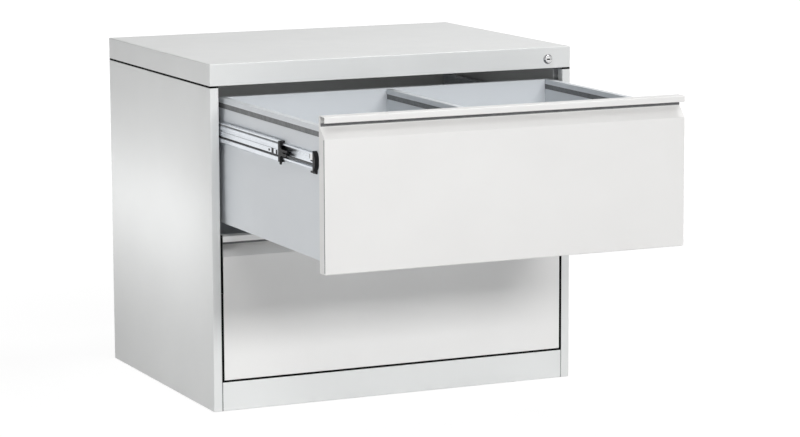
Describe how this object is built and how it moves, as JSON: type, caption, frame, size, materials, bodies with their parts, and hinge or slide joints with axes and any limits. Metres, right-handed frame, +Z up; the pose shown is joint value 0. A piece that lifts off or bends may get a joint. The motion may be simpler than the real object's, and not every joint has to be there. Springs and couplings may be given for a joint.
{
  "type": "filing cabinet",
  "caption": "Low steel cabinet for hanging files with wide drawers on telescopic slides, a top cover and a central lock.",
  "frame": {"origin": "on the floor, under the middle of the plan box of the whole, with the upper drawer open as in the picture", "axes": "+X to the right seen from the front, +Y to the back, +Z up; the drawers open along -Y"},
  "size_m": [0.787, 1.098, 0.69],
  "materials": {
    "carcass_paint": "satin powder coat",
    "front_paint": "satin powder coat",
    "drawer_paint": "satin powder coat",
    "zinc_steel": "bright zinc plated",
    "bearing_steel": "polished",
    "black_plastic": "matt moulded",
    "lock_chrome": "satin nickel"
  },
  "bodies": {
    "cabinet": {"bar_guides": "black_plastic", "base_tray": "carcass_paint", "front_top_rail": "carcass_paint", "left_side_panel": "carcass_paint", "levelling_feet": "black_plastic", "lock_housing": "lock_chrome", "lock_nut": "zinc_steel", "lower_left_cabinet_rail": "zinc_steel", "lower_right_cabinet_rail": "zinc_steel", "plinth_front": "carcass_paint", "rear_panel": "carcass_paint", "rear_top_rail": "carcass_paint", "right_side_panel": "carcass_paint", "slide_posts": "carcass_paint", "top_cover": "carcass_paint", "upper_left_cabinet_rail": "zinc_steel", "upper_right_cabinet_rail": "zinc_steel"},
    "upper_drawer": {"upper_divider": "drawer_paint", "upper_drawer_floor": "drawer_paint", "upper_front_liner": "front_paint", "upper_front_skin": "front_paint", "upper_grip_ledge": "front_paint", "upper_left_drawer_rail": "zinc_steel", "upper_left_wall": "drawer_paint", "upper_lock_catch": "zinc_steel", "upper_rail_caps": "black_plastic", "upper_rear_wall": "drawer_paint", "upper_right_drawer_rail": "zinc_steel", "upper_right_wall": "drawer_paint"},
    "lower_drawer": {"lower_divider": "drawer_paint", "lower_drawer_floor": "drawer_paint", "lower_front_liner": "front_paint", "lower_front_skin": "front_paint", "lower_grip_ledge": "front_paint", "lower_left_drawer_rail": "zinc_steel", "lower_left_wall": "drawer_paint", "lower_lock_catch": "zinc_steel", "lower_rail_caps": "black_plastic", "lower_rear_wall": "drawer_paint", "lower_right_drawer_rail": "zinc_steel", "lower_right_wall": "drawer_paint"},
    "lower_left_middle": {"lower_left_middle_rail": "zinc_steel", "lower_left_middle_stop": "black_plastic"},
    "lower_right_middle": {"lower_right_middle_rail": "zinc_steel", "lower_right_middle_stop": "black_plastic"},
    "upper_left_middle": {"upper_left_middle_rail": "zinc_steel", "upper_left_middle_stop": "black_plastic"},
    "upper_right_middle": {"upper_right_middle_rail": "zinc_steel", "upper_right_middle_stop": "black_plastic"},
    "lower_left_inner_balls_body": {"lower_left_inner_balls": "bearing_steel"},
    "lower_left_outer_balls_body": {"lower_left_outer_balls": "bearing_steel"},
    "lower_right_inner_balls_body": {"lower_right_inner_balls": "bearing_steel"},
    "lower_right_outer_balls_body": {"lower_right_outer_balls": "bearing_steel"},
    "upper_left_inner_balls_body": {"upper_left_inner_balls": "bearing_steel"},
    "upper_left_outer_balls_body": {"upper_left_outer_balls": "bearing_steel"},
    "upper_right_inner_balls_body": {"upper_right_inner_balls": "bearing_steel"},
    "upper_right_outer_balls_body": {"upper_right_outer_balls": "bearing_steel"},
    "lock_core": {"lock_cam": "zinc_steel", "lock_plug": "lock_chrome"},
    "lock_rod": {"locking_bar": "zinc_steel"}
  },
  "joints": [
    {"name": "upper_drawer_slide", "type": "slide", "parent": "cabinet", "child": "upper_drawer", "axis": [0, -1, 0], "range_m": [-0.508, 0.012]},
    {"name": "upper_left_middle_slide", "type": "slide", "parent": "cabinet", "child": "upper_left_middle", "axis": [0, -1, 0], "range_m": [-0.36078, 0.00862]},
    {"name": "upper_left_outer_balls_slide", "type": "slide", "parent": "cabinet", "child": "upper_left_outer_balls_body", "axis": [0, -1, 0], "range_m": [-0.18044, 0.00436]},
    {"name": "upper_left_inner_balls_slide", "type": "slide", "parent": "cabinet", "child": "upper_left_inner_balls_body", "axis": [0, -1, 0], "range_m": [-0.43444, 0.01036]},
    {"name": "upper_right_middle_slide", "type": "slide", "parent": "cabinet", "child": "upper_right_middle", "axis": [0, -1, 0], "range_m": [-0.36078, 0.00862]},
    {"name": "upper_right_outer_balls_slide", "type": "slide", "parent": "cabinet", "child": "upper_right_outer_balls_body", "axis": [0, -1, 0], "range_m": [-0.18044, 0.00436]},
    {"name": "upper_right_inner_balls_slide", "type": "slide", "parent": "cabinet", "child": "upper_right_inner_balls_body", "axis": [0, -1, 0], "range_m": [-0.43444, 0.01036]},
    {"name": "lower_drawer_slide", "type": "slide", "parent": "cabinet", "child": "lower_drawer", "axis": [0, -1, 0], "range_m": [0, 0.52]},
    {"name": "lower_left_middle_slide", "type": "slide", "parent": "cabinet", "child": "lower_left_middle", "axis": [0, -1, 0], "range_m": [0, 0.3693]},
    {"name": "lower_left_outer_balls_slide", "type": "slide", "parent": "cabinet", "child": "lower_left_outer_balls_body", "axis": [0, -1, 0], "range_m": [0, 0.1847]},
    {"name": "lower_left_inner_balls_slide", "type": "slide", "parent": "cabinet", "child": "lower_left_inner_balls_body", "axis": [0, -1, 0], "range_m": [0, 0.4447]},
    {"name": "lower_right_middle_slide", "type": "slide", "parent": "cabinet", "child": "lower_right_middle", "axis": [0, -1, 0], "range_m": [0, 0.3693]},
    {"name": "lower_right_outer_balls_slide", "type": "slide", "parent": "cabinet", "child": "lower_right_outer_balls_body", "axis": [0, -1, 0], "range_m": [0, 0.1847]},
    {"name": "lower_right_inner_balls_slide", "type": "slide", "parent": "cabinet", "child": "lower_right_inner_balls_body", "axis": [0, -1, 0], "range_m": [0, 0.4447]},
    {"name": "lock_turn", "type": "hinge", "parent": "cabinet", "child": "lock_core", "pos_m": [0.342, -0.031, 0.6655], "axis": [0, -1, 0], "range_deg": [0, 90]},
    {"name": "lock_rod_lift", "type": "slide", "parent": "cabinet", "child": "lock_rod", "axis": [0, 0, 1], "range_m": [0, 0.01141]}
  ],
  "couplings": [
    {"joint": "upper_left_middle_slide", "follows": "upper_drawer_slide", "ratio": 0.71},
    {"joint": "upper_left_outer_balls_slide", "follows": "upper_drawer_slide", "ratio": 0.355},
    {"joint": "upper_left_inner_balls_slide", "follows": "upper_drawer_slide", "ratio": 0.855},
    {"joint": "upper_right_middle_slide", "follows": "upper_drawer_slide", "ratio": 0.71},
    {"joint": "upper_right_outer_balls_slide", "follows": "upper_drawer_slide", "ratio": 0.355},
    {"joint": "upper_right_inner_balls_slide", "follows": "upper_drawer_slide", "ratio": 0.855},
    {"joint": "lower_left_middle_slide", "follows": "lower_drawer_slide", "ratio": 0.71},
    {"joint": "lower_left_outer_balls_slide", "follows": "lower_drawer_slide", "ratio": 0.355},
    {"joint": "lower_left_inner_balls_slide", "follows": "lower_drawer_slide", "ratio": 0.855},
    {"joint": "lower_right_middle_slide", "follows": "lower_drawer_slide", "ratio": 0.71},
    {"joint": "lower_right_outer_balls_slide", "follows": "lower_drawer_slide", "ratio": 0.355},
    {"joint": "lower_right_inner_balls_slide", "follows": "lower_drawer_slide", "ratio": 0.855},
    {"joint": "lock_rod_lift", "follows": "lock_turn", "m_per_rad": 0.0072025}
  ]
}
